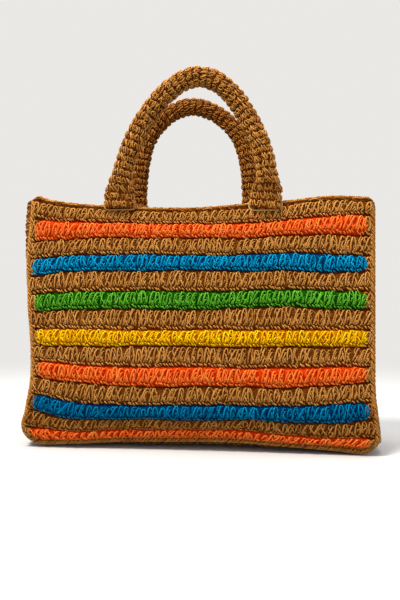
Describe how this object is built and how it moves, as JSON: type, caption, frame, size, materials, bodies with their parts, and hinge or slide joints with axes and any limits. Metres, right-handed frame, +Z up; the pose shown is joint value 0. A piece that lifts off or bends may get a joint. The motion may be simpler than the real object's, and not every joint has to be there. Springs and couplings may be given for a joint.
{
  "type": "crocheted tote bag",
  "caption": "Open-topped crocheted tote bag with plain brown rows between bright coloured stripes, corded seams and arched rope-cored handles.",
  "frame": {"origin": "middle of the base, on the floor the bag stands on", "axes": "+Z up, the striped front panel faces -Y, +X to the right seen from the front"},
  "size_m": [0.3816, 0.1398, 0.4062],
  "materials": {
    "ground": "twisted brown yarn, slightly shiny",
    "orange": "twisted orange yarn, slightly shiny",
    "blue": "twisted blue yarn, slightly shiny",
    "green": "twisted green yarn, slightly shiny",
    "yellow": "twisted yellow yarn, slightly shiny",
    "rope": "undyed cotton rope"
  },
  "bodies": {
    "root": {"front_panel_ground": "ground", "front_top_orange_stripe": "orange", "front_upper_blue_stripe": "blue", "front_green_stripe": "green", "front_yellow_stripe": "yellow", "front_lower_orange_stripe": "orange", "front_lower_blue_stripe": "blue", "front_bottom_orange_stripe": "orange", "back_panel_ground": "ground", "back_top_orange_stripe": "orange", "back_upper_blue_stripe": "blue", "back_green_stripe": "green", "back_yellow_stripe": "yellow", "back_lower_orange_stripe": "orange", "back_lower_blue_stripe": "blue", "back_bottom_orange_stripe": "orange", "side_and_base_strip": "ground", "front_seam_edging": "ground", "back_seam_edging": "ground", "rim_edging": "ground", "front_handle_cover": "ground", "front_handle_rope": "rope", "back_handle_cover": "ground", "back_handle_rope": "rope", "front_left_tab_stitching": "ground", "front_right_tab_stitching": "ground", "back_left_tab_stitching": "ground", "back_right_tab_stitching": "ground"}
  },
  "joints": []
}
